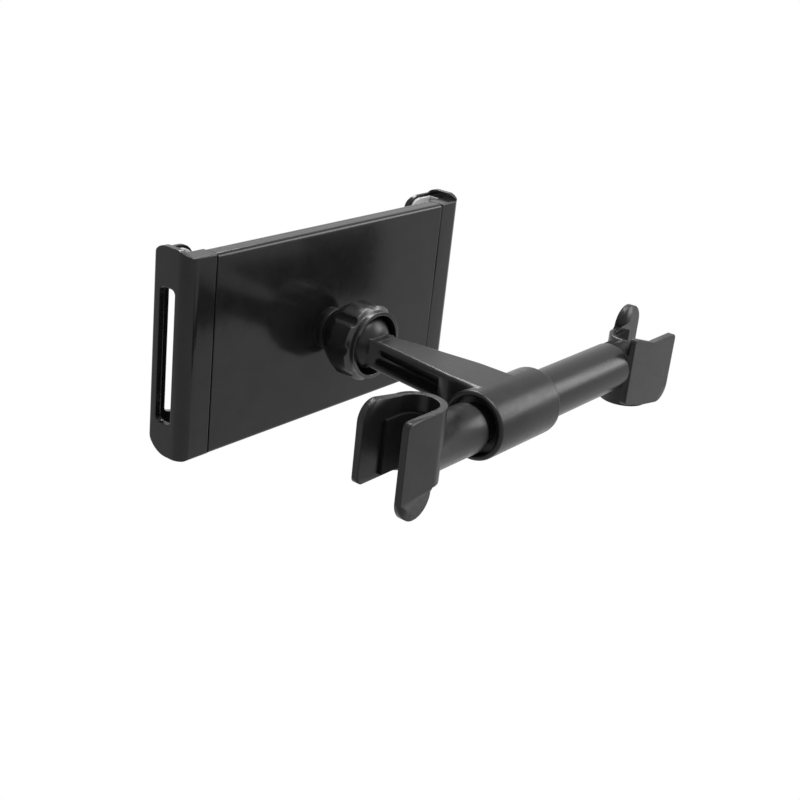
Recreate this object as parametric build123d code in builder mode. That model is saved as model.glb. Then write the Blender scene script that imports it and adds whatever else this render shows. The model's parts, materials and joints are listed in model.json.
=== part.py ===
from build123d import *
import math
import os

# Tablet holder for a car headrest: a telescopic bar with a C-hook for each headrest post,
# a T-arm with a collet on a ball joint, and a cradle with two sprung jaws.
# Frame: origin on the fixed post's axis at the bar's height, +X outward along the bar at the
# fixed hook, +Y from the bar to the cradle, +Z up along the posts. Millimetres.

# Clearances
seat = 0.05             # between fixed pieces that fit into each other
running = 0.05          # radial clearance of turning and sliding fits
gap = 0.3               # between pieces that move past each other

# Headrest posts and hooks
post_d = 12.0
post_spacing = 146.0    # between the posts with the bar pushed in
liner_t = 1.2           # rubber liner in each hook
liner_low = 8.4         # liner below and above the bar's axis
liner_high = 11.6
liner_leg = 8.0         # straight legs of the liner past the post's axis
hook_wall = 2.6
hook_neck_d = 18.8
plate_reach = 19.0      # wide wall of the hook, past the post's axis
plate_low = 9.4
plate_high = 21.0
plate_tip_r = 7.0
plate_foot_r = 2.5
rim_high = 18.0
tongue_reach = 17.0     # narrow wall of the hook, past the post's axis
tongue_w = 16.0
tongue_low = 18.5
tongue_top_r = 2.0

# Telescopic bar
tube_d = 19.4
tube_wall = 2.1
tube_end = 17.7         # from the fixed post's axis to the tube's end
spigot_len = 14.0
groove_w = 0.9          # shadow groove between tube and hook
groove_depth = 0.9
hook_travel = 36.0
rod_wall = 1.8
rod_overlap = 20.0      # rod left in the tube at full reach
rod_seat_len = 12.0     # rod inside the sliding hook's neck
shoe_len = 5.0
shoe_plug_len = 6.0
bush_w = 2.5
set_screw_d = 3.0
set_screw_sunk = 0.4
set_screw_bite = 3.0
sleeve_screw_inset = 8.0

# Arm and sleeve
arm_to_post = 97.0      # arm's centre plane to the fixed post's axis
sleeve_wall = 3.2
sleeve_len = 38.5
sleeve_left = 15.2      # sleeve's mouth to the arm's centre plane
sleeve_edge = 1.2
mouth_d = 22.0
mouth_depth = 6.0
neck_entry = 1.0        # sliding hook's neck inside the sleeve's mouth
arm_h = 11.4
arm_root_w = 21.0
arm_root_len = 16.0
arm_tip_w = 9.6
arm_edge = 1.4
pocket_depth = 2.4
pocket_flange = 2.2
pocket_start = 20.0
pocket_end = 14.0       # from the ball's centre
pocket_rib_h = 1.2
pocket_rib_t = 1.2

# Ball joint
ball_d = 17.0
liner_shell = 1.1       # friction cup and ring around the ball
ball_to_plate = 13.0
ball_rise = 1.8         # ball's axis above the arm's middle
ball_drop = 3.0         # ball's axis below the middle of the cradle
collet_wall = 2.1
collet_mouth = 51.0     # degrees from the ball's axis
collet_back = 6.5
collet_tail = 16.0
collet_taper = 3.6
collet_tip_wall = 2.2
collet_slot_w = 1.4
collet_slot_depth = 9.0
collet_slot_angle = 45.0
stud_neck_d = 8.4
stud_flange_d = 17.0
stud_flange_t = 2.0
stud_cone = 1.2
stud_cone_d = 14.0
ring_half_angle = 14.0  # degrees each side of the ball's equator
ring_split = 1.6
cup_angle = 52.0        # degrees from the cup's pole
nut_wall = 3.0
nut_rim_wall = 1.4
nut_rim_len = 2.2
nut_back = 9.5
nut_front = 6.8
nut_front_wall = 1.9
nut_shoulder = 1.0
nut_lobes = 8
nut_flute_d = 6.0
nut_flute_depth = 1.1

# Cradle
cradle_y = 80.0         # bar's axis to the cradle's back face
cradle_w = 155.4
cradle_h = 76.0
housing_t = 7.2
skin = 1.6              # front and rear walls
side_wall = 2.0
rear_depth = 4.6        # rear cover's share of the housing
housing_edge = 1.5
jaw_block = 13.4
jaw_depth = 17.5
jaw_wall = 2.4
jaw_rise = 2.0          # ears above and below the housing
jaw_step = 3.0
jaw_slope = 5.0
jaw_corner = 5.0
jaw_edge = 1.5
lip_t = 2.4
lip_w = 12.5
lip_waist = 7.5
lip_waist_h = 20.0
lip_slope = 5.0
lip_corner = 9.0
window_h = 51.0
window_margin = 0.5
jaw_pad_t = 1.0
jaw_pad_h = 11.0
jaw_pad_lip = 6.0
jaw_travel = 44.0

# Jaw drive
gear_module = 1.0
gear_teeth = 12
tooth_w = 1.2
tooth_tip_w = 0.45
tooth_foot = 1.25       # tooth below the pitch line
tooth_sink = 0.5        # pinion's teeth inside its hub
rack_tooth_flare = 0.5
pinion_tooth_flare = 0.333333
rack_bar = 4.6
rack_end = 6.0          # rack past the pinion with the jaws open
guide_w = 5.4
guide_len = 58.0
guide_rib = 1.4
pin_d = 3.0
boss_wall = 1.5
pin_seat = 0.8
spring_d = 3.2          # outer diameter of the coils
wire_d = 0.5
spring_turns = 14
spring_row = 18.0       # springs above and below the middle
spring_anchor = 20.0    # fixed spring anchors to the middle
anchor_w = 3.0
spring_spigot = 4.0     # spigots inside the ends of each spring

# Fasteners and grip strips
screw_d = 2.0
screw_head_d = 4.0
screw_head_t = 0.9
screw_boss_d = 5.2
cover_screw_x = 40.0
cover_screw_z = 24.0
stud_screw_count = 3
stud_screw_pcd = 11.0
stud_screw_angle = 30.0
jaw_screw_z = 20.0
strip_t = 0.8
strip_h = 11.0
strip_corner = 3.666667
strip_inset = 6.0

# Sizes and places that follow from the values above
post_r = post_d / 2
channel_r = post_r + liner_t
hook_r = channel_r + hook_wall
neck_r = hook_neck_d / 2
tube_r = tube_d / 2
bore_r = tube_r - tube_wall
rod_r = bore_r - running
sleeve_r = tube_r + seat + sleeve_wall
mouth_r = mouth_d / 2
set_screw_r = set_screw_d / 2
arm_x = -arm_to_post
mouth_x = arm_x - sleeve_left
sleeve_right = mouth_x + sleeve_len
tube_left = mouth_x + mouth_depth
tube_right = -tube_end
neck_right = mouth_x + neck_entry
rod_left = neck_right - rod_seat_len
rod_right = tube_left + hook_travel + rod_overlap
sleeve_screw_x = sleeve_right - sleeve_screw_inset
spigot_screw_x = tube_right - spigot_len / 2
rod_screw_x = neck_right - rod_seat_len / 2
ball_r = ball_d / 2
shell_r = ball_r + running + liner_shell
cavity_r = shell_r + running
collet_r = cavity_r + collet_wall
collet_front = cavity_r * math.cos(math.radians(collet_mouth))
collet_mouth_r = cavity_r * math.sin(math.radians(collet_mouth))
collet_tip_r = collet_mouth_r + collet_tip_wall
arm_mid_z = sleeve_r - arm_h / 2
ball_y = cradle_y - ball_to_plate
ball_z = arm_mid_z + ball_rise
cradle_z = ball_z + ball_drop
nut_bore_r = collet_r + running
nut_r = nut_bore_r + nut_wall
half_w = cradle_w / 2
half_h = cradle_h / 2
housing_half = half_w - jaw_block - gap
slide_back = skin + gap
slide_front = housing_t - skin - gap
slide_t = slide_front - slide_back
slide_mid = (slide_front + slide_back) / 2
guide_top = half_h - side_wall - gap
slide_tail = half_w - jaw_wall - seat
pitch_r = gear_module * gear_teeth / 2
tooth_tip_r = pitch_r + gear_module
tooth_root_r = pitch_r - tooth_foot
tooth_pitch = math.pi * gear_module
coil_r = (spring_d - wire_d) / 2
spigot_r = coil_r - wire_d / 2 - gap / 2
screw_r = screw_d / 2
screw_head_r = screw_head_d / 2
joint_plane = Plane(origin=(arm_x, ball_y, ball_z))
joint_axis = Axis((arm_x, ball_y, ball_z), (0, 1, 0))

os.makedirs("parts", exist_ok=True)


def save(part, name):
    part.label = name
    export_step(part, f"parts/{name}.step")


def bar_plane(x):
    """Plane across the bar, facing +X: local x is Y, local y is Z."""
    return Plane(origin=(x, 0, 0), x_dir=(0, 1, 0), z_dir=(1, 0, 0))


def cradle_plane(depth):
    """Plane parallel to the cradle, facing its back: local x is X, local y is Z."""
    return Plane(origin=(arm_x, cradle_y + depth, cradle_z), x_dir=(1, 0, 0), z_dir=(0, -1, 0))


def cross_plane(x):
    """Plane across the cradle, facing +X: local x is depth, local y is Z."""
    return Plane(origin=(arm_x + x, cradle_y, cradle_z), x_dir=(0, 1, 0), z_dir=(1, 0, 0))


def set_screw_hole(x, outer, inner):
    """Cut the hole of a set screw that enters from under the bar, between two depths."""
    with Locations((x, 0, -(outer + inner) / 2)):
        Cylinder(set_screw_r + seat, outer - inner, mode=Mode.SUBTRACT)


def make_set_screw(x, outer, inner):
    with BuildPart() as screw:
        with BuildSketch(Plane(origin=(x, 0, -outer))):
            Circle(set_screw_r)
        extrude(amount=outer - inner)
    return screw.part


# Hooks: a half-round web behind the post, a wide plate on one side and a rounded tongue on the
# other. The fixed hook is the sliding one mirrored, then turned half a turn about the bar.
def make_hook(post_x, out, up, neck_end):
    def wall_plane(y):
        return Plane(origin=(post_x, up * y, 0), x_dir=(out, 0, 0), z_dir=(0, -out * up, 0))

    wall_mid = channel_r + hook_wall / 2
    tongue_r = tongue_w / 2
    tongue_mid = tongue_reach - tongue_r
    with BuildPart() as hook:
        with BuildSketch(Plane(origin=(post_x, 0, up * (rim_high - plate_low) / 2))):
            Circle(hook_r)
            with Locations((out * hook_r, 0)):
                Rectangle(2 * hook_r, 2 * hook_r, mode=Mode.SUBTRACT)
        extrude(amount=(rim_high + plate_low) / 2, both=True)
        with BuildSketch(wall_plane(wall_mid)) as plate:
            Polygon((0, -plate_low), (plate_reach, -plate_low), (plate_reach, plate_high), (0, rim_high),
                    align=None)
            lip = plate.vertices().group_by(Axis.X)[-1].sort_by(Axis.Y)
            fillet(lip[-1], plate_tip_r)
            lip = plate.vertices().group_by(Axis.X)[-1].sort_by(Axis.Y)
            fillet(lip[0], plate_foot_r)
        extrude(amount=hook_wall / 2, both=True)
        with BuildSketch(wall_plane(-wall_mid)) as tongue:
            with BuildLine():
                Polyline((tongue_mid - tongue_r, tongue_r - tongue_low), (0, -plate_low), (0, rim_high),
                         (tongue_reach, rim_high), (tongue_reach, tongue_r - tongue_low))
                ThreePointArc((tongue_reach, tongue_r - tongue_low), (tongue_mid, -tongue_low),
                              (tongue_mid - tongue_r, tongue_r - tongue_low))
            make_face()
            lip = tongue.vertices().group_by(Axis.X)[-1].sort_by(Axis.Y)
            fillet(lip[-1], tongue_top_r)
        extrude(amount=hook_wall / 2, both=True)
        with BuildSketch(bar_plane(neck_end)):
            Circle(neck_r)
        extrude(amount=post_x - neck_end)
        with BuildSketch(Plane(origin=(post_x, 0, 0))):
            Circle(channel_r)
            with Locations((out * plate_reach, 0)):
                Rectangle(2 * plate_reach, 2 * channel_r)
        extrude(amount=plate_high + tongue_low, both=True, mode=Mode.SUBTRACT)
    return hook.part


def make_liner(post_x, out, up):
    outer = channel_r - seat
    with BuildPart() as liner:
        with BuildSketch(Plane(origin=(post_x, 0, min(-up * liner_low, up * liner_high)))):
            Circle(outer)
            with Locations((out * liner_leg / 2, 0)):
                Rectangle(liner_leg, 2 * outer)
            Circle(post_r, mode=Mode.SUBTRACT)
            with Locations((out * liner_leg, 0)):
                Rectangle(2 * liner_leg, post_d, mode=Mode.SUBTRACT)
        extrude(amount=liner_low + liner_high)
    return liner.part


with BuildPart() as right_hook:
    add(make_hook(0, 1, -1, tube_right))
    with BuildSketch(bar_plane(tube_right)):
        Circle(bore_r - seat)
    extrude(amount=-spigot_len)
    with BuildSketch(bar_plane(tube_right)):
        Circle(neck_r)
        Circle(neck_r - groove_depth, mode=Mode.SUBTRACT)
    extrude(amount=groove_w, mode=Mode.SUBTRACT)
    set_screw_hole(spigot_screw_x, tube_r, bore_r - set_screw_bite)
save(right_hook.part, "right_hook")

with BuildPart() as left_hook:
    add(make_hook(-post_spacing, -1, 1, neck_right))
    with BuildSketch(bar_plane(neck_right)):
        Circle(rod_r + seat)
    extrude(amount=-rod_seat_len, mode=Mode.SUBTRACT)
    set_screw_hole(rod_screw_x, neck_r, 0)
    fillet(left_hook.edges().filter_by(GeomType.CIRCLE).group_by(Axis.X)[-1].sort_by(SortBy.LENGTH)[-1],
           sleeve_edge)
save(left_hook.part, "left_hook")

save(make_liner(0, 1, -1), "right_hook_liner")
save(make_liner(-post_spacing, -1, 1), "left_hook_liner")

# Telescopic bar: the tube is fixed in the arm's sleeve, and the rod slides in the tube.
with BuildPart() as main_tube:
    with BuildSketch(bar_plane(tube_left)):
        Circle(tube_r)
        Circle(bore_r, mode=Mode.SUBTRACT)
    extrude(amount=tube_right - tube_left)
    set_screw_hole(sleeve_screw_x, tube_r, 0)
    set_screw_hole(spigot_screw_x, tube_r, 0)
save(main_tube.part, "main_tube")

with BuildPart() as slide_rod:
    with BuildSketch(bar_plane(rod_left)):
        Circle(rod_r)
        Circle(rod_r - rod_wall, mode=Mode.SUBTRACT)
    extrude(amount=rod_right - rod_left)
    set_screw_hole(rod_screw_x, rod_r, 0)
save(slide_rod.part, "slide_rod")

with BuildPart() as rod_shoe:
    with BuildSketch(bar_plane(rod_right)):
        Circle(rod_r)
    extrude(amount=shoe_len)
    with BuildSketch(bar_plane(rod_right)):
        Circle(rod_r - rod_wall - seat)
    extrude(amount=-shoe_plug_len)
save(rod_shoe.part, "rod_shoe")

with BuildPart() as rod_bush:
    with BuildSketch(bar_plane(tube_left)):
        Circle(mouth_r - seat)
        Circle(rod_r + running, mode=Mode.SUBTRACT)
    extrude(amount=-bush_w)
save(rod_bush.part, "rod_bush")

with BuildPart() as bar_screws:
    add(make_set_screw(sleeve_screw_x, sleeve_r - set_screw_sunk, bore_r + seat))
    add(make_set_screw(spigot_screw_x, tube_r - set_screw_sunk, bore_r - set_screw_bite))
save(bar_screws.part, "bar_screws")

rod_screw = make_set_screw(rod_screw_x, neck_r - set_screw_sunk, rod_r - rod_wall)
save(rod_screw, "rod_screw")

# Arm: sleeve, tapered flat arm with a pocket along each side, and the split collet for the ball.
arm_tip_y = ball_y - collet_back
with BuildPart() as arm:
    with BuildSketch(Plane(origin=(arm_x, 0, sleeve_r - arm_h))):
        Polygon((-arm_root_w / 2, 0), (-arm_root_w / 2, arm_root_len), (-arm_tip_w / 2, arm_tip_y),
                (arm_tip_w / 2, arm_tip_y), (arm_root_w / 2, arm_root_len), (arm_root_w / 2, 0), align=None)
    extrude(amount=arm_h)
    fillet(arm.edges().filter_by(Plane.XY).filter_by(Axis.X, reverse=True), arm_edge)
    with BuildSketch(Plane(origin=(arm_x, 0, sleeve_r - arm_h + pocket_flange))):
        for side in (-1, 1):
            with BuildLine():
                slope = (arm_root_w - arm_tip_w) / 2 / (arm_tip_y - arm_root_len)
                near_y = pocket_start
                far_y = ball_y - pocket_end
                near_x = arm_root_w / 2 - (near_y - arm_root_len) * slope
                far_x = arm_root_w / 2 - (far_y - arm_root_len) * slope
                Polyline((side * (near_x - pocket_depth), near_y), (side * near_x * 2, near_y),
                         (side * near_x * 2, far_y), (side * (far_x - pocket_depth), far_y), close=True)
            make_face()
    extrude(amount=arm_h - 2 * pocket_flange, mode=Mode.SUBTRACT)
    with BuildSketch(Plane(origin=(arm_x, 0, arm_mid_z - pocket_rib_t / 2))):
        with BuildLine():
            inset = pocket_depth - pocket_rib_h
            Polyline((-near_x + inset, near_y), (near_x - inset, near_y), (far_x - inset, far_y),
                     (-far_x + inset, far_y), close=True)
        make_face()
    extrude(amount=pocket_rib_t)
    with BuildSketch(bar_plane(mouth_x)):
        Circle(sleeve_r)
    extrude(amount=sleeve_len)
    with BuildSketch(joint_plane):
        Polygon((0, -collet_tail), (arm_tip_w / 2, -collet_tail), (collet_r, -collet_back),
                (collet_r, collet_front - collet_taper), (collet_tip_r, collet_front), (0, collet_front),
                align=None)
    revolve(axis=joint_axis)
    with BuildSketch(joint_plane):
        Circle(cavity_r)
        with Locations((-cavity_r, 0)):
            Rectangle(2 * cavity_r, 2 * cavity_r, mode=Mode.SUBTRACT)
    revolve(axis=joint_axis, mode=Mode.SUBTRACT)
    with BuildSketch(Plane(origin=(arm_x, ball_y + collet_front, ball_z), x_dir=(1, 0, 0), z_dir=(0, -1, 0))):
        with PolarLocations(0, 2, start_angle=collet_slot_angle, angular_range=180):
            Rectangle(2 * (collet_r + gap), collet_slot_w)
    extrude(amount=collet_slot_depth, mode=Mode.SUBTRACT)
    with BuildSketch(bar_plane(mouth_x)):
        Circle(tube_r + seat)
    extrude(amount=sleeve_len, mode=Mode.SUBTRACT)
    with BuildSketch(bar_plane(mouth_x)):
        Circle(mouth_r)
    extrude(amount=mouth_depth, mode=Mode.SUBTRACT)
    set_screw_hole(sleeve_screw_x, sleeve_r, 0)
    rims = arm.edges().filter_by(GeomType.CIRCLE).filter_by(lambda e: abs(e.radius - sleeve_r) < seat)
    fillet(rims.group_by(Axis.X)[0] + rims.group_by(Axis.X)[-1], sleeve_edge)
save(arm.part, "arm")

# Ball joint: the ball stud on the cradle turns in a friction cup and ring held by the collet,
# and the fluted nut closes the collet's fingers.
with BuildPart() as ball_stud:
    stud_neck_r = stud_neck_d / 2
    stud_back = ball_to_plate - stud_flange_t
    with BuildSketch(joint_plane):
        Polygon((0, 0), (stud_neck_r, 0), (stud_neck_r, stud_back - stud_cone), (stud_cone_d / 2, stud_back),
                (stud_flange_d / 2, stud_back), (stud_flange_d / 2, ball_to_plate), (0, ball_to_plate),
                align=None)
    revolve(axis=joint_axis)
    with Locations((arm_x, ball_y, ball_z)):
        Sphere(ball_r)
    with BuildSketch(Plane(origin=(arm_x, cradle_y, ball_z), x_dir=(1, 0, 0), z_dir=(0, -1, 0))):
        with PolarLocations(stud_screw_pcd / 2, stud_screw_count, start_angle=stud_screw_angle):
            Circle(screw_r + seat)
    extrude(amount=stud_flange_t, mode=Mode.SUBTRACT)
save(ball_stud.part, "ball_stud")


# The friction cup and ring are zones of one shell, between angles from the ball's equator.
def make_shell(start_angle, arc_size):
    with BuildPart() as shell:
        with BuildSketch(joint_plane):
            with BuildLine():
                inner = CenterArc((0, 0), ball_r + running, start_angle, arc_size)
                outer = CenterArc((0, 0), shell_r, start_angle, arc_size)
                Line(inner @ 0, outer @ 0)
                Line(inner @ 1, outer @ 1)
            make_face()
        revolve(axis=joint_axis)
    return shell.part


with BuildPart() as grip_ring:
    add(make_shell(-ring_half_angle, 2 * ring_half_angle))
    with Locations((arm_x, ball_y, ball_z - shell_r)):
        Box(ring_split, 2 * shell_r, shell_r, mode=Mode.SUBTRACT)
save(grip_ring.part, "grip_ring")

save(make_shell(-90, cup_angle), "seat_cup")

with BuildPart() as locking_nut:
    taper_start = collet_front - collet_taper
    tip_clear = collet_tip_r + running
    with BuildSketch(joint_plane):
        Polygon((nut_bore_r, -nut_back), (nut_bore_r + nut_rim_wall, -nut_back),
                (nut_bore_r + nut_rim_wall, nut_rim_len - nut_back),
                (nut_r, nut_rim_len - nut_back + nut_shoulder), (nut_r, taper_start - nut_shoulder),
                (tip_clear + nut_front_wall, nut_front), (tip_clear, nut_front), (tip_clear, collet_front),
                (nut_bore_r, taper_start), align=None)
    revolve(axis=joint_axis)
    with BuildSketch(Plane(origin=(arm_x, ball_y + nut_front, ball_z), x_dir=(1, 0, 0), z_dir=(0, -1, 0))):
        with PolarLocations(nut_r + nut_flute_d / 2 - nut_flute_depth, nut_lobes):
            Circle(nut_flute_d / 2)
    extrude(amount=nut_front + nut_back, mode=Mode.SUBTRACT)
save(locking_nut.part, "locking_nut")

# Cradle housing: two shallow shells closed by screws from the front, open at both ends for the
# rack forks of the jaws.
cover_screw_places = GridLocations(2 * cover_screw_x, 2 * cover_screw_z, 2, 2)
spring_anchors = ((-spring_anchor, -spring_row), (spring_anchor, spring_row))
stud_screw_places = PolarLocations(stud_screw_pcd / 2, stud_screw_count, start_angle=stud_screw_angle)
boss_front = housing_t - skin
pin_boss_r = pin_d / 2 + boss_wall

with BuildPart() as rear_cover:
    with BuildSketch(cradle_plane(rear_depth)):
        Rectangle(2 * housing_half, cradle_h)
    extrude(amount=rear_depth)
    fillet(rear_cover.edges().filter_by(Axis.X).group_by(Axis.Y)[0], housing_edge)
    with BuildSketch(cradle_plane(rear_depth)):
        Rectangle(2 * housing_half, cradle_h - 2 * side_wall)
    extrude(amount=rear_depth - skin, mode=Mode.SUBTRACT)
    with BuildSketch(cradle_plane(skin)):
        for row in (-1, 1):
            with Locations((0, row * (guide_top - guide_w - gap - guide_rib / 2))):
                Rectangle(2 * housing_half, guide_rib)
    extrude(amount=-(slide_mid - skin))
    with BuildSketch(cradle_plane(skin)):
        with cover_screw_places:
            Circle(screw_boss_d / 2)
    extrude(amount=-(boss_front - skin))
    with BuildSketch(cradle_plane(skin)):
        with Locations(*spring_anchors):
            Rectangle(anchor_w, spring_d)
    extrude(amount=-(slide_front - skin))
    for side in (-1, 1):
        with BuildSketch(cross_plane(side * spring_anchor)):
            with Locations((slide_mid, side * spring_row)):
                Circle(spigot_r)
        extrude(amount=side * (anchor_w / 2 + spring_spigot))
    with BuildSketch(cradle_plane(skin)):
        Circle(pin_boss_r)
    extrude(amount=-gap / 2)
    with BuildSketch(cradle_plane(skin + gap)):
        Circle(pin_d / 2 + seat)
    extrude(amount=skin + gap - pin_seat, mode=Mode.SUBTRACT)
    with BuildSketch(cradle_plane(boss_front)):
        with cover_screw_places:
            Circle(screw_r + seat)
    extrude(amount=boss_front - skin, mode=Mode.SUBTRACT)
    with BuildSketch(Plane(origin=(arm_x, cradle_y + skin, ball_z), x_dir=(1, 0, 0), z_dir=(0, -1, 0))):
        with stud_screw_places:
            Circle(screw_r + seat)
    extrude(amount=skin, mode=Mode.SUBTRACT)
    with BuildSketch(Plane(origin=(arm_x, cradle_y + skin, ball_z), x_dir=(1, 0, 0), z_dir=(0, -1, 0))):
        with stud_screw_places:
            Circle(screw_head_r + seat)
    extrude(amount=screw_head_t, mode=Mode.SUBTRACT)
save(rear_cover.part, "rear_cover")

with BuildPart() as front_cover:
    with BuildSketch(cradle_plane(housing_t)):
        Rectangle(2 * housing_half, cradle_h)
    extrude(amount=housing_t - rear_depth)
    fillet(front_cover.edges().filter_by(Axis.X).group_by(Axis.Y)[-1], housing_edge)
    with BuildSketch(cradle_plane(boss_front)):
        Rectangle(2 * housing_half, cradle_h - 2 * side_wall)
    extrude(amount=boss_front - rear_depth, mode=Mode.SUBTRACT)
    with BuildSketch(cradle_plane(boss_front)):
        Circle(pin_boss_r)
    extrude(amount=gap / 2)
    with BuildSketch(cradle_plane(housing_t - pin_seat)):
        Circle(pin_d / 2 + seat)
    extrude(amount=skin, mode=Mode.SUBTRACT)
    with BuildSketch(cradle_plane(housing_t)):
        with cover_screw_places:
            Circle(screw_r + seat)
    extrude(amount=skin, mode=Mode.SUBTRACT)
    with BuildSketch(cradle_plane(housing_t)):
        with cover_screw_places:
            Circle(screw_head_r + seat)
    extrude(amount=screw_head_t, mode=Mode.SUBTRACT)
save(front_cover.part, "front_cover")

with BuildPart() as cover_screws:
    with BuildSketch(cradle_plane(housing_t)):
        with cover_screw_places:
            Circle(screw_head_r)
    extrude(amount=screw_head_t)
    with BuildSketch(cradle_plane(housing_t - screw_head_t)):
        with cover_screw_places:
            Circle(screw_r)
    extrude(amount=housing_t - screw_head_t - skin)
save(cover_screws.part, "cover_screws")

with BuildPart() as stud_screws:
    with BuildSketch(Plane(origin=(arm_x, cradle_y + skin, ball_z), x_dir=(1, 0, 0), z_dir=(0, -1, 0))):
        with stud_screw_places:
            Circle(screw_head_r)
    extrude(amount=screw_head_t)
    with BuildSketch(Plane(origin=(arm_x, cradle_y + skin, ball_z), x_dir=(1, 0, 0), z_dir=(0, -1, 0))):
        with stud_screw_places:
            Circle(screw_r)
    extrude(amount=skin + stud_flange_t)
save(stud_screws.part, "stud_screws")

with BuildPart() as front_pads:
    with BuildSketch(cradle_plane(housing_t + strip_t)):
        with GridLocations(1, 2 * cover_screw_z, 1, 2):
            RectangleRounded(2 * (housing_half - strip_inset), strip_h, strip_corner)
    extrude(amount=strip_t)
save(front_pads.part, "front_pads")


# Jaws: a hollow block that takes the rack fork, an end wall with a window and a front lip.
def make_jaw(side):
    inner = housing_half + gap
    with BuildPart() as jaw:
        with BuildSketch(cross_plane(side * half_w)) as profile:
            Polygon((0, -half_h), (jaw_step, -half_h), (jaw_step + jaw_slope, -half_h - jaw_rise),
                    (jaw_depth, -half_h - jaw_rise), (jaw_depth, half_h + jaw_rise),
                    (jaw_step + jaw_slope, half_h + jaw_rise), (jaw_step, half_h), (0, half_h), align=None)
            fillet(profile.vertices().group_by(Axis.X)[-1], jaw_corner)
        extrude(amount=-side * jaw_block)
        outer = jaw.edges().filter_by(Axis.Z).group_by(Axis.X)[0 if side < 0 else -1]
        fillet(outer, jaw_edge)
        with BuildSketch(cradle_plane(jaw_depth - lip_t)):
            with Locations((side * (inner + (jaw_block - jaw_wall) / 2), 0)):
                Rectangle(jaw_block - jaw_wall, 2 * cradle_h)
        extrude(amount=jaw_depth - lip_t - housing_t, mode=Mode.SUBTRACT)
        with BuildSketch(cradle_plane(jaw_depth)):
            ear = half_h + jaw_rise
            Polygon((side * (inner - gap), -ear), (side * (half_w - lip_w), -ear),
                    (side * (half_w - lip_w), -lip_waist_h / 2 - lip_slope),
                    (side * (half_w - lip_waist), -lip_waist_h / 2),
                    (side * (half_w - lip_waist), lip_waist_h / 2),
                    (side * (half_w - lip_w), lip_waist_h / 2 + lip_slope),
                    (side * (half_w - lip_w), ear), (side * (inner - gap), ear), align=None)
        extrude(amount=lip_t, mode=Mode.SUBTRACT)
        with BuildSketch(cradle_plane(slide_front + seat)):
            with Locations((side * (inner + slide_tail + seat) / 2, 0)):
                Rectangle(slide_tail + seat - inner, 2 * (guide_top + gap))
        extrude(amount=slide_t + 2 * seat, mode=Mode.SUBTRACT)
        with BuildSketch(cross_plane(side * half_w)):
            window_w = jaw_depth - lip_t - housing_t - 2 * window_margin
            with Locations((housing_t + window_margin + window_w / 2, 0)):
                RectangleRounded(window_w, window_h, window_w / 2 - seat)
        extrude(amount=-side * jaw_wall, mode=Mode.SUBTRACT)
        with BuildSketch(cradle_plane(housing_t)):
            with Locations((side * (inner + slide_tail) / 2, -jaw_screw_z),
                           (side * (inner + slide_tail) / 2, jaw_screw_z)):
                Circle(screw_r + seat)
        extrude(amount=housing_t - slide_front, mode=Mode.SUBTRACT)
        with BuildSketch(cradle_plane(housing_t)):
            with Locations((side * (inner + slide_tail) / 2, -jaw_screw_z),
                           (side * (inner + slide_tail) / 2, jaw_screw_z)):
                Circle(screw_head_r + seat)
        extrude(amount=screw_head_t, mode=Mode.SUBTRACT)
        corners = jaw.edges().filter_by(Axis.Y)
        corners = corners.filter_by(lambda e: abs(abs(e.center().X - arm_x) - half_w + lip_w) < seat)
        fillet(corners.group_by(Axis.Z)[0] + corners.group_by(Axis.Z)[-1], lip_corner)
    return jaw.part


def make_jaw_pad(side):
    inner = half_w - jaw_wall
    low = window_h / 2 + window_margin
    lip_back = jaw_depth - lip_t
    with BuildPart() as pad:
        with BuildSketch(Plane(origin=(arm_x, cradle_y, cradle_z + low))):
            Polygon((side * inner, housing_t + gap), (side * (inner - jaw_pad_t), housing_t + gap),
                    (side * (inner - jaw_pad_t), lip_back - jaw_pad_t),
                    (side * (inner - jaw_pad_lip), lip_back - jaw_pad_t),
                    (side * (inner - jaw_pad_lip), lip_back), (side * inner, lip_back), align=None)
        extrude(amount=jaw_pad_h)
        mirror(about=Plane(origin=(arm_x, cradle_y, cradle_z)))
    return pad.part


def make_jaw_screws(side):
    place = side * (housing_half + gap + slide_tail) / 2
    with BuildPart() as screws:
        with BuildSketch(cradle_plane(housing_t)):
            with Locations((place, -jaw_screw_z), (place, jaw_screw_z)):
                Circle(screw_head_r)
        extrude(amount=screw_head_t)
        with BuildSketch(cradle_plane(housing_t)):
            with Locations((place, -jaw_screw_z), (place, jaw_screw_z)):
                Circle(screw_r)
        extrude(amount=housing_t - slide_back)
    return screws.part


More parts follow.
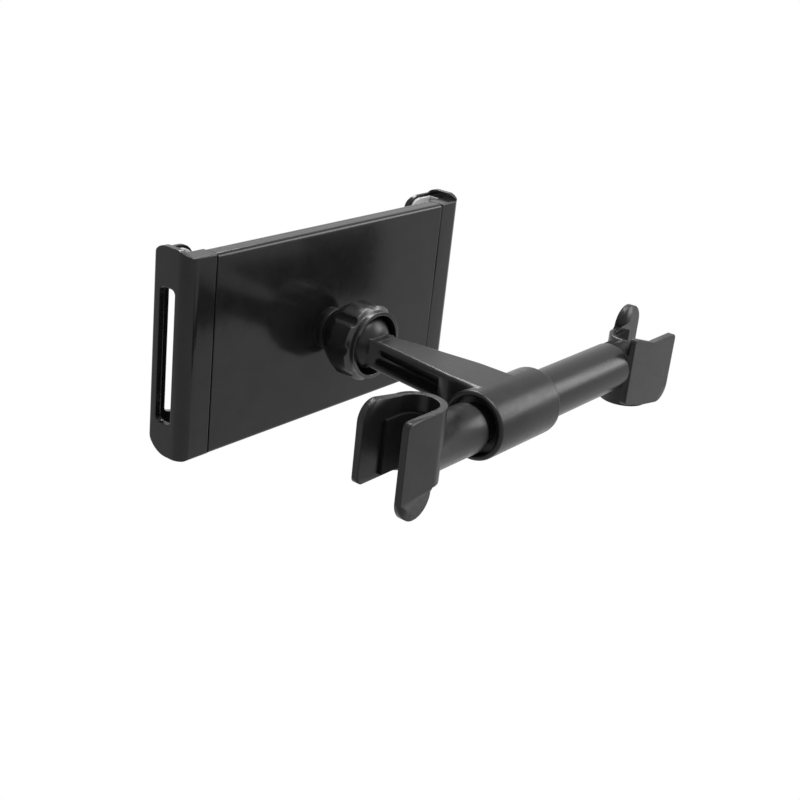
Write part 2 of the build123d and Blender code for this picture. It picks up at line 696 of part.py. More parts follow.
# Rack forks: a tail plate in the jaw, two guide bars along the housing's sides and a toothed
# bar on one side of the pinion.
def make_slide(side):
    inner = housing_half + gap
    rack_far = jaw_travel + rack_end
    rack_root = pitch_r + tooth_foot
    tooth_half = tooth_w / 2
    with BuildPart() as slide:
        with BuildSketch(cradle_plane(slide_front)):
            with Locations((side * (inner + slide_tail) / 2, 0)):
                Rectangle(slide_tail - inner, 2 * guide_top)
            for row in (-1, 1):
                with Locations((side * (inner - guide_len / 2), row * (guide_top - guide_w / 2))):
                    Rectangle(guide_len, guide_w)
            with Locations((side * (inner - rack_far) / 2, -side * (rack_root + rack_bar / 2))):
                Rectangle(inner + rack_far, rack_bar)
            count = int(rack_far / tooth_pitch) + 1
            for k in range(-1, count):
                with Locations((-side * k * tooth_pitch, -side * pitch_r)):
                    Polygon((-tooth_tip_w / 2, side * gear_module), (tooth_tip_w / 2, side * gear_module),
                            (tooth_half, 0), (tooth_half + rack_tooth_flare, -side * tooth_foot),
                            (-tooth_half - rack_tooth_flare, -side * tooth_foot), (-tooth_half, 0),
                            align=None)
        extrude(amount=slide_t)
        with BuildSketch(cradle_plane(slide_front)):
            with Locations((side * (inner + slide_tail) / 2, -jaw_screw_z),
                           (side * (inner + slide_tail) / 2, jaw_screw_z)):
                Circle(screw_r + seat)
        extrude(amount=slide_t, mode=Mode.SUBTRACT)
        with BuildSketch(cross_plane(side * inner)):
            with Locations((slide_mid, side * spring_row)):
                Circle(spigot_r)
        extrude(amount=-side * spring_spigot)
    return slide.part


for name, side in (("left", -1), ("right", 1)):
    save(make_jaw(side), f"{name}_jaw")
    save(make_jaw_pad(side), f"{name}_jaw_pad")
    save(make_jaw_screws(side), f"{name}_jaw_screws")
    save(make_slide(side), f"{name}_slide")

with BuildPart() as pinion:
    with BuildSketch(cradle_plane(slide_front)):
        Circle(tooth_root_r)
        with PolarLocations(0, gear_teeth, start_angle=90 + 180 / gear_teeth):
            Polygon((tooth_root_r - tooth_sink, -tooth_w / 2 - pinion_tooth_flare),
                    (pitch_r, -tooth_w / 2), (tooth_tip_r, -tooth_tip_w / 2), (tooth_tip_r, tooth_tip_w / 2),
                    (pitch_r, tooth_w / 2), (tooth_root_r - tooth_sink, tooth_w / 2 + pinion_tooth_flare),
                    align=None)
        Circle(pin_d / 2 + running, mode=Mode.SUBTRACT)
    extrude(amount=slide_t)
save(pinion.part, "pinion")

with BuildPart() as pinion_pin:
    with BuildSketch(cradle_plane(housing_t - pin_seat)):
        Circle(pin_d / 2)
    extrude(amount=housing_t - 2 * pin_seat)
save(pinion_pin.part, "pinion_pin")


# Return springs: one extension coil for each fork, wound onto a spigot at each end.
def make_spring(side):
    coil_start = spring_anchor + anchor_w / 2 + wire_d
    coil_len = housing_half + gap - wire_d - coil_start
    place = (arm_x + side * coil_start, cradle_y + slide_mid, cradle_z + side * spring_row)
    with BuildPart() as spring:
        with BuildLine() as coil:
            Helix(coil_len / spring_turns, coil_len, coil_r, place, (side, 0, 0))
        with BuildSketch(Plane(origin=coil.line @ 0, z_dir=coil.line % 0)):
            Circle(wire_d / 2)
        sweep(path=coil.line)
    return spring.part


for name, side in (("left", -1), ("right", 1)):
    save(make_spring(side), f"{name}_spring")
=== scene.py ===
import json
import math

import bmesh
import bpy
from mathutils import Matrix, Vector


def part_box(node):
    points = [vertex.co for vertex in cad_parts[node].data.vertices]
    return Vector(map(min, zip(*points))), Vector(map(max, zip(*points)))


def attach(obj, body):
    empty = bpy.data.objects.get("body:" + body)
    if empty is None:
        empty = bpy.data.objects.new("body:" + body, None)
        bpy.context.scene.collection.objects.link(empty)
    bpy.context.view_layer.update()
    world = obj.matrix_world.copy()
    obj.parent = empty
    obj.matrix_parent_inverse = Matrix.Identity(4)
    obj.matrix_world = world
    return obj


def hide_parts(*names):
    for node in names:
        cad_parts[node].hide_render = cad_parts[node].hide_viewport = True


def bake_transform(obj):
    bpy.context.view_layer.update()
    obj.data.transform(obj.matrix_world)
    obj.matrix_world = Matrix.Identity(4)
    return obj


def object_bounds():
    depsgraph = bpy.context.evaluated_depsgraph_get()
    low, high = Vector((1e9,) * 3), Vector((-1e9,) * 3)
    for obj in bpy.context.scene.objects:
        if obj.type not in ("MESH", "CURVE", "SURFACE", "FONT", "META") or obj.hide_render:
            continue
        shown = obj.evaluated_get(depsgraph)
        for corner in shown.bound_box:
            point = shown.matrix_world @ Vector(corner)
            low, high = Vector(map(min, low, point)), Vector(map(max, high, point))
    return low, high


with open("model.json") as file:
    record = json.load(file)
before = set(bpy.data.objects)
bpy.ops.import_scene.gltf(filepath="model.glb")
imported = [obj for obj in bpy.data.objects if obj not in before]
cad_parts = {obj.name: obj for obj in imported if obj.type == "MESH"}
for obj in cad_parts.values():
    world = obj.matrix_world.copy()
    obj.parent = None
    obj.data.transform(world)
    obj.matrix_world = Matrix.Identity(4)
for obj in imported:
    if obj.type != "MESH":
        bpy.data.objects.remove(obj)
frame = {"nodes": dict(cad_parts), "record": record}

cad_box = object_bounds()
parts = frame["nodes"]


# Hooks: two C-shaped mouldings in black glass-filled nylon, one on the fixed tube and one on
# the sliding rod. The mould is spark-eroded to a fine satin grain, and the post side is lined
# with a glued strip of soft rubber.
noise_low = 0.3
noise_high = 0.7
soft_edge_r = 0.0006
sharp_angle = math.radians(32)
weld = 0.000001
overrun = 0.002     # how far a cutting shape runs past the face that it cuts
round_steps = 64


def paint(material, *names):
    for name in names:
        slots = parts[name].data.materials
        slots.clear()
        slots.append(material)


def noise(tree, coords, size, detail, stretch=(1, 1, 1)):
    """Noise in the part's own metres: size is the width of one grain."""
    mapping = tree.nodes.new("ShaderNodeMapping")
    mapping.inputs["Scale"].default_value = [s / size for s in stretch]
    texture = tree.nodes.new("ShaderNodeTexNoise")
    texture.inputs["Scale"].default_value = 1.0
    texture.inputs["Detail"].default_value = detail
    tree.links.new(coords.outputs["Object"], mapping.inputs["Vector"])
    tree.links.new(mapping.outputs["Vector"], texture.inputs["Vector"])
    return texture.outputs["Fac"]


def spread(tree, value, low, high):
    """Maps the middle of a noise onto the range low to high."""
    remap = tree.nodes.new("ShaderNodeMapRange")
    remap.inputs["From Min"].default_value = noise_low
    remap.inputs["From Max"].default_value = noise_high
    remap.inputs["To Min"].default_value = low
    remap.inputs["To Max"].default_value = high
    tree.links.new(value, remap.inputs["Value"])
    return remap.outputs["Result"]


def blend_colours(tree, value, dark, light):
    """Maps the middle of a noise onto the colours dark to light."""
    ramp = tree.nodes.new("ShaderNodeValToRGB")
    ramp.color_ramp.elements[0].position = noise_low
    ramp.color_ramp.elements[0].color = (*dark, 1)
    ramp.color_ramp.elements[1].position = noise_high
    ramp.color_ramp.elements[1].color = (*light, 1)
    tree.links.new(value, ramp.inputs["Fac"])
    return ramp.outputs["Color"]


def moulding(name, dark, light, gloss, grain, relief, specular, stretch=(1, 1, 1)):
    """Moulded plastic or rubber: mottled colour, uneven gloss and the mould's surface grain."""
    material = bpy.data.materials.new(name)
    material.use_nodes = True
    tree = material.node_tree
    shader = tree.nodes["Principled BSDF"]
    shader.inputs["Specular IOR Level"].default_value = specular
    coords = tree.nodes.new("ShaderNodeTexCoord")
    mottle = noise(tree, coords, size=0.009, detail=4.0, stretch=stretch)
    tree.links.new(blend_colours(tree, mottle, dark, light), shader.inputs["Base Color"])
    streak = noise(tree, coords, size=0.0025, detail=3.0, stretch=stretch)
    tree.links.new(spread(tree, streak, *gloss), shader.inputs["Roughness"])
    soft_edge = tree.nodes.new("ShaderNodeBevel")
    soft_edge.samples = 6
    soft_edge.inputs["Radius"].default_value = soft_edge_r
    bump = tree.nodes.new("ShaderNodeBump")
    bump.inputs["Strength"].default_value = 0.5
    bump.inputs["Distance"].default_value = relief
    tree.links.new(soft_edge.outputs["Normal"], bump.inputs["Normal"])
    tree.links.new(noise(tree, coords, size=grain, detail=2.0, stretch=stretch), bump.inputs["Height"])
    tree.links.new(bump.outputs["Normal"], shader.inputs["Normal"])
    return material


satin_black = moulding("satin_black_nylon", dark=(0.006, 0.006, 0.0065), light=(0.010, 0.010, 0.0105),
                       gloss=(0.28, 0.36), grain=0.0004, relief=0.000012, specular=0.22)
# The liner rubber is darker than the nylon: partly the black rubber's own colour, partly painted shade for
# the inside of the hook channel where the liners sit
soft_rubber = moulding("black_liner_rubber", dark=(0.004, 0.004, 0.004), light=(0.008, 0.008, 0.008),
                       gloss=(0.60, 0.75), grain=0.0006, relief=0.00005, specular=0.08)
paint(soft_rubber, "left_hook_liner", "right_hook_liner")


def rounded(corners, steps=6):
    """Outline from (a, b, radius) corners, each corner turned into an arc of that radius."""
    outline = []
    for i, (a, b, radius) in enumerate(corners):
        here = Vector((a, b))
        if radius == 0:
            outline.append(here)
            continue
        to_last = (Vector(corners[i - 1][:2]) - here).normalized()
        to_next = (Vector(corners[(i + 1) % len(corners)][:2]) - here).normalized()
        half = to_last.angle(to_next) / 2
        hub = here + (to_last + to_next).normalized() * radius / math.sin(half)
        first = here + to_last * radius / math.tan(half) - hub
        turn = first.angle_signed(here + to_next * radius / math.tan(half) - hub)
        for k in range(steps + 1):
            angle = -turn * k / steps
            outline.append(hub + Vector((first.x * math.cos(angle) - first.y * math.sin(angle),
                                         first.x * math.sin(angle) + first.y * math.cos(angle))))
    return outline


def new_piece(name, shape):
    mesh = bpy.data.meshes.new(name)
    shape.to_mesh(mesh)
    shape.free()
    piece = bpy.data.objects.new(name, mesh)
    bpy.context.scene.collection.objects.link(piece)
    return piece


def prism(name, outline, low, high, place):
    """Solid of one outline between two depths; place turns (a, b, depth) into a point of the part."""
    shape = bmesh.new()
    near = [shape.verts.new(place(p[0], p[1], low)) for p in outline]
    far = [shape.verts.new(place(p[0], p[1], high)) for p in outline]
    shape.faces.new(near)
    shape.faces.new(far)
    for i in range(len(outline)):
        shape.faces.new((near[i - 1], near[i], far[i], far[i - 1]))
    bmesh.ops.recalc_face_normals(shape, faces=shape.faces)
    return new_piece(name, shape)


def copy_of(name, node):
    """A welded copy of a node's mesh, to be worked further."""
    shape = bmesh.new()
    shape.from_mesh(parts[node].data)
    bmesh.ops.remove_doubles(shape, verts=shape.verts, dist=weld)
    return new_piece(name, shape)


def combine(piece, tool, operation):
    """Applies a union, difference or intersection with a tool piece, which is then removed."""
    step = piece.modifiers.new(operation, "BOOLEAN")
    step.operation = operation
    step.solver = "EXACT"
    step.object = tool
    bpy.context.view_layer.update()
    result = bpy.data.meshes.new_from_object(piece.evaluated_get(bpy.context.evaluated_depsgraph_get()))
    piece.modifiers.clear()
    piece.data = result
    bpy.data.objects.remove(tool)


def finish_piece(piece, material, body, slot, *nodes):
    """Smooth shading with sharp edges, the finish, and the node that the piece stands for."""
    piece.data.materials.clear()
    piece.data.materials.append(material)
    for face in piece.data.polygons:
        face.use_smooth = True
        face.material_index = 0
    piece.data.set_sharp_from_angle(angle=sharp_angle)
    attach(piece, body)
    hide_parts(*nodes)


hook_wall = 0.0026
heel_back = 0.0164
heel_rise = 0.0140
heel_drop = 0.0145
heel_corner = 0.002
web_top = 0.0180
web_foot = 0.0094
neck_gap = 0.0030
neck_cut_r = 0.012
mouth_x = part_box("arm")[0].x
posts = {mount["name"]: mount["pos_m"] for mount in frame["record"]["mounts"]}
circle = [Vector((math.cos(math.tau * k / round_steps), math.sin(math.tau * k / round_steps)))
          for k in range(round_steps)]


def add_heel(hook, post_x, out, up):
    """The wide wall runs back beside the neck as a heel, which stiffens the hook."""
    side_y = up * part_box("left_hook")[1].y
    outline = rounded([(0, -web_foot, 0), (-heel_back, -heel_drop, heel_corner),
                       (-heel_back, heel_rise, heel_corner), (0, web_top, 0)])
    heel = prism("heel", outline, side_y - up * hook_wall, side_y,
                 lambda t, v, y: (post_x + out * t, y, up * v))
    combine(hook, heel, "UNION")


left_hook = copy_of("left_hook_moulding", "left_hook")
add_heel(left_hook, posts["post_left"][0], out=-1, up=1)
neck_end = prism("neck_end", [p * neck_cut_r for p in circle], mouth_x - neck_gap, mouth_x + overrun,
                 lambda a, b, x: (x, a, b))
combine(left_hook, neck_end, "DIFFERENCE")
finish_piece(left_hook, satin_black, "sliding_hook", "arm_black", "left_hook")
right_hook = copy_of("right_hook_moulding", "right_hook")
add_heel(right_hook, posts["post_right"][0], out=1, up=-1)
finish_piece(right_hook, satin_black, "bar", "arm_black", "right_hook")

# Telescopic bar: a drawn black tube fixed in the arm's sleeve, and a thinner rod that slides in
# it through a guide bush, with a white acetal shoe on its inner end. The bush is coloured black as
# painted shade, standing for the shadow inside the sleeve's mouth.
drawn_black = moulding("drawn_black_tube", dark=(0.006, 0.006, 0.0065), light=(0.009, 0.009, 0.0095),
                       gloss=(0.26, 0.34), grain=0.0003, relief=0.00001, specular=0.24,
                       stretch=(0.08, 1, 1))
acetal = moulding("natural_acetal", dark=(0.62, 0.61, 0.57), light=(0.72, 0.71, 0.67),
                  gloss=(0.35, 0.5), grain=0.0005, relief=0.00001, specular=0.5)
paint(drawn_black, "main_tube", "slide_rod")
paint(acetal, "rod_shoe")
# painted shade: the rod bush gets the black nylon so that the sleeve's mouth reads dark where shadow falls
paint(satin_black, "rod_bush")

# Arm: one black nylon moulding with the sleeve for the tube, a tapered flat arm with a pocket
# along each side, and the split collet that holds the ball and ends in a dome behind the nut.
ball = Vector(next(j for j in frame["record"]["behaviour"]["joints"] if j["name"] == "nut_turn")["pos_m"])
dome_r = 0.0095
dome_hub = Vector((0.0023, -0.0019))
dome_steps = 12
collar_r = 0.0140
tail_back = 0.0170
flat_low = 0.00155
flat_top = 0.01295
flat_tip_half = 0.0046
flat_root_half = 0.0063
flat_root = 0.0180
turned_weld = 0.00001


def turned(name, section, about):
    """Solid of revolution about a line along Y: section is a closed outline of (radius, y)."""
    shape = bmesh.new()
    ring = [shape.verts.new((about.x + p[0], about.y + p[1], about.z)) for p in section]
    edges = [shape.edges.new((ring[i - 1], ring[i])) for i in range(len(ring))]
    bmesh.ops.spin(shape, geom=ring + edges, cent=about, axis=(0, 1, 0), angle=math.tau, steps=round_steps)
    bmesh.ops.remove_doubles(shape, verts=shape.verts, dist=turned_weld)
    bmesh.ops.recalc_face_normals(shape, faces=shape.faces)
    return new_piece(name, shape)


dome = [(dome_hub.x + dome_r * math.cos(a), dome_hub.y - dome_r * math.sin(a))
        for a in (math.pi / 2 * k / dome_steps for k in range(dome_steps + 1))]
recess = turned("recess", dome + [(0.0, dome[-1][1]), (0.0, -tail_back), (collar_r, -tail_back),
                                  (collar_r, dome_hub.y)], ball)
flat_arm = prism("flat_arm", [(-flat_root_half, -flat_root), (-flat_tip_half, 0), (flat_tip_half, 0),
                              (flat_root_half, -flat_root)],
                 flat_low, flat_top, lambda a, b, z: (ball.x + a, ball.y + b, z))
combine(recess, flat_arm, "DIFFERENCE")
arm = copy_of("arm_moulding", "arm")
combine(arm, recess, "DIFFERENCE")
finish_piece(arm, satin_black, "bar", "arm_black", "arm")

# Ball joint: a fluted nut with a polished black face squeezes the collet round an acetal cup and
# ring on the ball, and the ball's flange is screwed to the cradle's back.
gloss_black = moulding("gloss_black_nut", dark=(0.006, 0.006, 0.0065), light=(0.010, 0.010, 0.0105),
                       gloss=(0.20, 0.27), grain=0.0004, relief=0.000008, specular=0.5)
paint(gloss_black, "locking_nut")
paint(satin_black, "ball_stud")
paint(acetal, "seat_cup", "grip_ring")

# Cradle housing: two shallow shells in black plastic with a smooth, slightly glossy face, screwed
# together from the front, where two ribbed rubber strips keep the tablet from sliding.
satin_housing = moulding("satin_black_housing", dark=(0.005, 0.005, 0.0055), light=(0.008, 0.008, 0.0085),
                         gloss=(0.14, 0.19), grain=0.0003, relief=0.000002, specular=0.24)
paint(satin_housing, "rear_cover", "front_cover")
strips_low, strips_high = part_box("front_pads")
strip_t = strips_high.y - strips_low.y
strip_base = 0.0005
strip_h = 0.0110
strip_corner = 0.0036
rib_count = 6
rib_steps = 8


def ribbed_strip(name, mid_z):
    """Soft strip with half-round ribs along it, rounded at its corners."""
    low_x, high_x = strips_low.x, strips_high.x
    pitch = strip_h / rib_count
    section = [(-strip_h / 2, 0), (strip_h / 2, 0)]
    for k in range(rib_count):
        for step in range(rib_steps):
            crest = math.sin(math.pi * step / rib_steps)
            section.append((strip_h / 2 - (k + step / rib_steps) * pitch,
                            strip_base + (strip_t - strip_base) * crest))
    section.append((-strip_h / 2, strip_base))
    strip = prism(name, section, low_x, high_x, lambda v, n, x: (x, strips_low.y + n, mid_z + v))
    outline = rounded([(low_x, -strip_h / 2, strip_corner), (high_x, -strip_h / 2, strip_corner),
                       (high_x, strip_h / 2, strip_corner), (low_x, strip_h / 2, strip_corner)])
    combine(strip, prism("strip_outline", outline, strips_low.y - overrun, strips_high.y + overrun,
                         lambda x, v, y: (x, y, mid_z + v)), "INTERSECT")
    return strip


strips = ribbed_strip("front_grip_strips", strips_high.z - strip_h / 2)
combine(strips, ribbed_strip("lower_strip", strips_low.z + strip_h / 2), "UNION")
finish_piece(strips, soft_rubber, "cradle", "black_rubber", "front_pads")

# Jaws: end mouldings in the housing's black plastic, each with a window, a top ear and a C-shaped
# front lip, screwed to its rack fork from the front. Light grey rubber pads line the lip and the
# end wall where they touch the tablet.
grey_rubber = moulding("light_grey_pad_rubber", dark=(0.36, 0.36, 0.36), light=(0.44, 0.44, 0.44),
                       gloss=(0.6, 0.75), grain=0.0006, relief=0.00005, specular=0.3)
cover_low, cover_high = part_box("rear_cover")
centre = Vector(((cover_low.x + cover_high.x) / 2, cover_low.y, (cover_low.z + cover_high.z) / 2))
jaw_low, jaw_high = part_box("right_jaw")
end_x = jaw_high.x - centre.x
block_w = jaw_high.x - jaw_low.x
jaw_deep = jaw_high.y - jaw_low.y
half_h = (cover_high.z - cover_low.z) / 2
ear_top = jaw_high.z - centre.z
housing_deep = 0.0072
wall = 0.0024
end_r = 0.005
front_edge_r = 0.0015
foot_r = 0.0095
foot_back_r = 0.0012
ear_front_r = 0.0055
ear_back = 0.0055
ear_back_r = 0.003
ear_root_r = 0.001
envelope_steps = 10
lip_deep = 0.0024
lip_w = 0.0165
lip_corner = 0.0065
lip_waist = 0.0055
waist_h = 0.0240
waist_slope = 0.0030
waist_corner = 0.002
waist_tip = 0.0015
fork_back = 0.00185
fork_front = 0.00535
fork_h = 0.0360
window_back = 0.0062
window_front = 0.0139
window_h = 0.0255
window_corner = 0.002
screw_e = 0.007925
screw_v = 0.0200
screw_head_r = 0.00205
seam_bevel = 0.0004
pad_t = 0.0010
pad_rim = 0.0012
pad_low = 0.0276
pad_foot = 0.0334
pad_gap = 0.0003
pad_corner = 0.005
pad_inner_corner = 0.001
lip_back = jaw_deep - lip_deep


def jaw_places(side):
    """Three ways to lay an outline on a jaw: seen from its end, from behind and from below.

    e is the distance in from the jaw's end, v the height and n the depth from the cradle's back.
    """
    def from_end(n, v, e):
        return (centre.x + side * (end_x - e), centre.y + n, centre.z + v)

    def from_back(e, v, n):
        return from_end(n, v, e)

    def from_below(e, n, v):
        return from_end(n, v, e)

    return from_end, from_back, from_below


def brick(name, low, high, place):
    outline = [(low[0], low[1]), (high[0], low[1]), (high[0], high[1]), (low[0], high[1])]
    return prism(name, outline, low[2], high[2], place)


def make_jaw(name, side):
    """End wall with window and ear, block round the fork and C-shaped lip, in one rounded envelope."""
    from_end, from_back, from_below = jaw_places(side)
    tall = 2 * half_h
    jaw = brick(name + "_jaw_moulding", (-overrun, -tall, -overrun), (wall, tall, jaw_deep + overrun),
                from_back)
    block = brick("block", (-overrun, -half_h, -overrun), (block_w, half_h, housing_deep), from_back)
    combine(jaw, block, "UNION")
    lip = rounded([(-overrun, -half_h, 0), (lip_w, -half_h, lip_corner),
                   (lip_w, -waist_h - waist_slope, waist_tip), (lip_waist, -waist_h, waist_corner),
                   (lip_waist, waist_h, waist_corner), (lip_w, waist_h + waist_slope, waist_tip),
                   (lip_w, half_h, lip_corner), (-overrun, half_h, 0)])
    combine(jaw, prism("lip", lip, lip_back, jaw_deep + overrun, from_back), "UNION")
    profile = rounded([(0, -half_h, foot_back_r), (jaw_deep, -half_h, foot_r),
                       (jaw_deep, ear_top, ear_front_r), (ear_back, ear_top, ear_back_r),
                       (0, half_h, ear_root_r)], envelope_steps)
    combine(jaw, prism("profile", profile, -lip_w, 2 * lip_w, from_end), "INTERSECT")
    plan = rounded([(0, 0, end_r), (lip_w + overrun, 0, 0), (lip_w + overrun, jaw_deep, 0),
                    (0, jaw_deep, front_edge_r)], envelope_steps)
    combine(jaw, prism("plan", plan, -tall, tall, from_below), "INTERSECT")
    fork_slot = brick("fork_slot", (wall, -fork_h, fork_back), (block_w + overrun, fork_h, fork_front),
                      from_back)
    combine(jaw, fork_slot, "DIFFERENCE")
    window = rounded([(window_back, -window_h, window_corner), (window_front, -window_h, window_corner),
                      (window_front, window_h, window_corner), (window_back, window_h, window_corner)])
    combine(jaw, prism("window", window, -overrun, wall, from_end), "DIFFERENCE")
    seam = [(block_w - seam_bevel - overrun, -overrun), (block_w + overrun, -overrun),
            (block_w + overrun, seam_bevel + overrun)]
    combine(jaw, prism("seam", seam, -tall, tall, from_below), "DIFFERENCE")
    for v in (-screw_v, screw_v):
        sink = [Vector((screw_e, v)) + p * screw_head_r for p in circle]
        combine(jaw, prism("sink", sink, fork_front - overrun, housing_deep + overrun, from_back),
                "DIFFERENCE")
    finish_piece(jaw, satin_housing, name + "_clamp", "housing", name + "_jaw")


def make_pads(name, side):
    """An L-shaped pad in the jaw's top corner and one in its foot: behind the lip and on the end wall."""
    from_back = jaw_places(side)[1]
    tip = lip_w - pad_rim
    pads = []
    for inner, outer in ((pad_low, half_h - pad_rim), (-pad_low, -pad_foot)):
        tab = rounded([(wall, inner, 0), (tip, inner, pad_inner_corner), (tip, outer, pad_corner),
                       (wall, outer, 0)])
        pad = prism(name + "_grip_pad", tab, lip_back - pad_t, lip_back, from_back)
        on_wall = brick("on_wall", (wall, min(inner, outer), housing_deep + pad_gap),
                        (wall + pad_t, max(inner, outer), lip_back), from_back)
        combine(pad, on_wall, "UNION")
        pads.append(pad)
    combine(pads[0], pads[1], "UNION")
    finish_piece(pads[0], grey_rubber, name + "_clamp", "grey_rubber", name + "_jaw_pad")


for jaw_name, jaw_side in (("left", -1), ("right", 1)):
    make_jaw(jaw_name, jaw_side)
    make_pads(jaw_name, jaw_side)

# Jaw drive: a black rack fork on each jaw, the acetal pinion between them on its steel pin, and
# two coil springs of plated wire that pull the jaws together.
inner_black = moulding("plain_black_fork", dark=(0.016, 0.016, 0.017), light=(0.024, 0.024, 0.025),
                       gloss=(0.4, 0.55), grain=0.0005, relief=0.00002, specular=0.4)


def plated_steel(name, dark, light, gloss):
    """Zinc-plated steel: cloudy plating over a faint grain."""
    material = bpy.data.materials.new(name)
    material.use_nodes = True
    tree = material.node_tree
    shader = tree.nodes["Principled BSDF"]
    shader.inputs["Metallic"].default_value = 1.0
    coords = tree.nodes.new("ShaderNodeTexCoord")
    cloud = noise(tree, coords, size=0.002, detail=3.0)
    tree.links.new(blend_colours(tree, cloud, dark, light), shader.inputs["Base Color"])
    tree.links.new(spread(tree, cloud, *gloss), shader.inputs["Roughness"])
    bump = tree.nodes.new("ShaderNodeBump")
    bump.inputs["Strength"].default_value = 0.3
    bump.inputs["Distance"].default_value = 0.00001
    tree.links.new(noise(tree, coords, size=0.0002, detail=2.0), bump.inputs["Height"])
    tree.links.new(bump.outputs["Normal"], shader.inputs["Normal"])
    return material


zinc_steel = plated_steel("zinc_plated_steel", dark=(0.24, 0.24, 0.25), light=(0.36, 0.36, 0.38),
                          gloss=(0.28, 0.42))
paint(inner_black, "left_slide", "right_slide")
paint(acetal, "pinion")
paint(zinc_steel, "pinion_pin")

wire_r = 0.00025
coil_turns = 32
turn_steps = 16


def make_spring(name, side):
    """Round wire wound between the housing's anchor and the fork."""
    low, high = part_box(name + "_spring")
    coil_r = (high.y - low.y) / 2 - wire_r
    hub = (low + high) / 2
    start, end = (low.x, high.x) if side > 0 else (high.x, low.x)
    curve = bpy.data.curves.new(name + "_return_spring", "CURVE")
    curve.dimensions = "3D"
    curve.bevel_depth = wire_r
    curve.bevel_resolution = 2
    wire = curve.splines.new("POLY")
    count = coil_turns * turn_steps
    wire.points.add(count)
    for k, point in enumerate(wire.points):
        angle = math.tau * k / turn_steps
        x = start + (end - start) * k / count
        point.co = (x, hub.y + coil_r * math.sin(angle), hub.z + coil_r * math.cos(angle), 1)
    path = bpy.data.objects.new(name + "_wire", curve)
    bpy.context.scene.collection.objects.link(path)
    bpy.context.view_layer.update()
    mesh = bpy.data.meshes.new_from_object(path.evaluated_get(bpy.context.evaluated_depsgraph_get()))
    bpy.data.objects.remove(path)
    spring = bpy.data.objects.new(name + "_return_spring", mesh)
    bpy.context.scene.collection.objects.link(spring)
    mesh.materials.append(zinc_steel)
    for face in mesh.polygons:
        face.use_smooth = True
    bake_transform(spring)
    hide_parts(name + "_spring")


make_spring("left", -1)
make_spring("right", 1)

# Fasteners: zinc-plated screws with a cross recess close the housing and hold the forks, plain
# ones hold the stud, and set screws with a hexagon socket fix the tube, the fixed hook and the rod.
paint(zinc_steel, "stud_screws")
cross_reach = 0.0012
cross_arm = 0.0003
cross_deep = 0.0006
hex_reach = 0.0009
hex_deep = 0.0012
set_screw_sink = 0.0004
quarter = [(cross_reach, -cross_arm), (cross_reach, cross_arm), (cross_arm, cross_arm)]
cross = []
for turn in range(4):
    cross += quarter
    quarter = [(-b, a) for a, b in quarter]
hexagon = [(hex_reach * math.cos(math.tau * k / 6), hex_reach * math.sin(math.tau * k / 6)) for k in range(6)]


def cross_screws(name, node, body):
    """Pan-head screws with a cross recess, at the corners of the node's box or on its middle line."""
    low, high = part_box(node)
    head_r = min(high.x - low.x, 2 * screw_head_r) / 2
    screws = copy_of(name, node)
    for x in sorted({low.x + head_r, high.x - head_r}):
        for z in (low.z + head_r, high.z - head_r):
            outline = [(x + a, z + b) for a, b in cross]
            combine(screws, prism("cross", outline, high.y - cross_deep, high.y + overrun,
                                  lambda a, b, y: (a, y, b)), "DIFFERENCE")
    finish_piece(screws, zinc_steel, body, "steel", node)


cross_screws("housing_cross_screws", "cover_screws", "cradle")
cross_screws("left_fork_cross_screws", "left_jaw_screws", "left_clamp")
cross_screws("right_fork_cross_screws", "right_jaw_screws", "right_clamp")


def socket_screws(name, node, body, faces):
    """Set screws with a hexagon socket that faces down; faces gives each screw's x and lower end."""
    screws = copy_of(name, node)
    for x, z in faces:
        combine(screws, prism("socket", [(x + a, b) for a, b in hexagon], z - overrun, z + hex_deep,
                              lambda a, b, c: (a, b, c)), "DIFFERENCE")
    finish_piece(screws, zinc_steel, body, "steel", node)


bar_set_low, bar_set_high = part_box("bar_screws")
rod_set_low, rod_set_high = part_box("rod_screw")
set_screw_r = (rod_set_high.x - rod_set_low.x) / 2
tube_set_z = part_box("main_tube")[0].z + set_screw_sink
socket_screws("bar_socket_screws", "bar_screws", "bar",
              [(bar_set_low.x + set_screw_r, bar_set_low.z), (bar_set_high.x - set_screw_r, tube_set_z)])
socket_screws("rod_socket_screw", "rod_screw", "sliding_hook", [(rod_set_low.x + set_screw_r, rod_set_low.z)])

# Studio: a white paper sweep well below the part, which hangs from the headrest posts, and soft
# boxes above, at the right and beyond the cradle.
floor_z = -0.30
floor_half = 3.0
white = (1, 1, 1, 1)
floor_mesh = bpy.data.meshes.new("studio_floor")
floor_mesh.from_pydata([(-floor_half, -floor_half, floor_z), (floor_half, -floor_half, floor_z),
                        (floor_half, floor_half, floor_z), (-floor_half, floor_half, floor_z)],
                       [], [(0, 1, 2, 3)])
floor = bpy.data.objects.new("studio_floor", floor_mesh)
bpy.context.scene.collection.objects.link(floor)


def white_to_the_eye(tree, own_shader, glow):
    """Adds a glow that only the eye, mirrors and glass see, so that the paper reads as white."""
    path = tree.nodes.new("ShaderNodeLightPath")
    seen = tree.nodes.new("ShaderNodeMath")
    seen.operation = "MAXIMUM"
    also = tree.nodes.new("ShaderNodeMath")
    also.operation = "MAXIMUM"
    tree.links.new(path.outputs["Is Camera Ray"], seen.inputs[0])
    tree.links.new(path.outputs["Is Glossy Ray"], seen.inputs[1])
    tree.links.new(seen.outputs[0], also.inputs[0])
    tree.links.new(path.outputs["Is Transmission Ray"], also.inputs[1])
    mix = tree.nodes.new("ShaderNodeMixShader")
    tree.links.new(also.outputs[0], mix.inputs[0])
    tree.links.new(own_shader.outputs[0], mix.inputs[1])
    tree.links.new(glow.outputs[0], mix.inputs[2])
    return mix


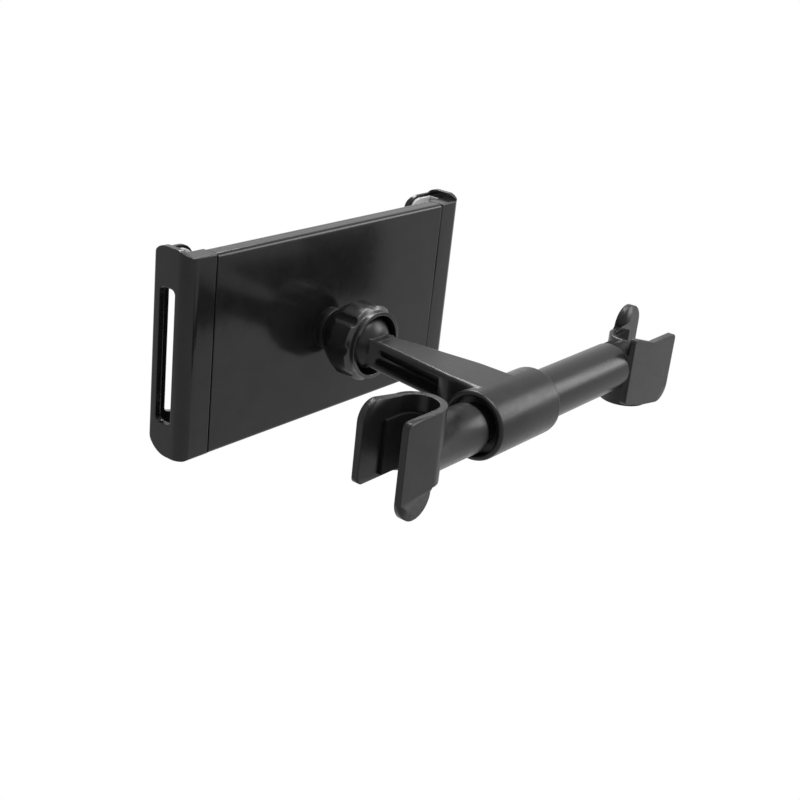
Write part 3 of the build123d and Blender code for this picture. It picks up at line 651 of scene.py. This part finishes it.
paper = bpy.data.materials.new("white_paper")
paper.use_nodes = True
paper_tree = paper.node_tree
paper_shader = paper_tree.nodes["Principled BSDF"]
paper_shader.inputs["Base Color"].default_value = (0.85, 0.85, 0.85, 1)
paper_shader.inputs["Roughness"].default_value = 0.9
paper_glow = paper_tree.nodes.new("ShaderNodeEmission")
paper_glow.inputs["Strength"].default_value = 1.0
paper_mix = white_to_the_eye(paper_tree, paper_shader, paper_glow)
paper_tree.links.new(paper_mix.outputs[0], paper_tree.nodes["Material Output"].inputs["Surface"])
floor_mesh.materials.append(paper)

world = bpy.data.worlds.new("white_studio")
bpy.context.scene.world = world
world.use_nodes = True
world_tree = world.node_tree
room = world_tree.nodes["Background"]
room.inputs["Color"].default_value = white
room.inputs["Strength"].default_value = 0.55
backdrop = world_tree.nodes.new("ShaderNodeBackground")
backdrop.inputs["Color"].default_value = white
backdrop.inputs["Strength"].default_value = 1.0
world_mix = white_to_the_eye(world_tree, room, backdrop)
world_tree.links.new(world_mix.outputs[0], world_tree.nodes["World Output"].inputs["Surface"])

middle = (cad_box[0] + cad_box[1]) / 2


def soft_box(name, offset, size, power):
    """A square soft light at an offset from the part's middle, aimed at it."""
    lamp = bpy.data.lights.new(name, "AREA")
    lamp.shape = "SQUARE"
    lamp.size = size
    lamp.energy = power
    light = bpy.data.objects.new(name, lamp)
    light.location = middle + Vector(offset)
    light.rotation_euler = (-Vector(offset)).to_track_quat("-Z", "Y").to_euler()
    bpy.context.scene.collection.objects.link(light)


soft_box("top_box", offset=(0.15, -0.25, 0.9), size=0.6, power=14.0)
soft_box("rim_box", offset=(0.42, 0.55, 0.70), size=0.35, power=7.0)
soft_box("right_box", offset=(0.9, -0.7, 0.5), size=0.6, power=8.0)

# Camera: placed by the centre of the cradle's back, whose pixel, distance and angles were read
# from the photograph.
photo_px = 800
focal_px = 1343.75
centre_px = (332.57, 321.39)
centre_distance = 0.523
azimuth = math.radians(-53.74)
elevation = math.radians(22.47)
roll = math.radians(6.36)
back = Vector((math.sin(azimuth) * math.cos(elevation), -math.cos(azimuth) * math.cos(elevation),
               math.sin(elevation)))
level = (-back).cross(Vector((0, 0, 1))).normalized()
upright = level.cross(-back)
right = math.cos(roll) * level + math.sin(roll) * upright
up = -math.sin(roll) * level + math.cos(roll) * upright
aside = (centre_px[0] - photo_px / 2) / focal_px * centre_distance
above = -(centre_px[1] - photo_px / 2) / focal_px * centre_distance
eye = centre - (aside * right + above * up - centre_distance * back)
lens = bpy.data.cameras.new("photo_camera")
lens.sensor_width = 36.0
lens.lens = focal_px / photo_px * lens.sensor_width
lens.clip_start = 0.01
camera = bpy.data.objects.new("photo_camera", lens)
camera.matrix_world = Matrix.Translation(eye) @ Matrix((right, up, back)).transposed().to_4x4()
bpy.context.scene.collection.objects.link(camera)
bpy.context.scene.camera = camera
bpy.context.scene.view_settings.view_transform = "Standard"
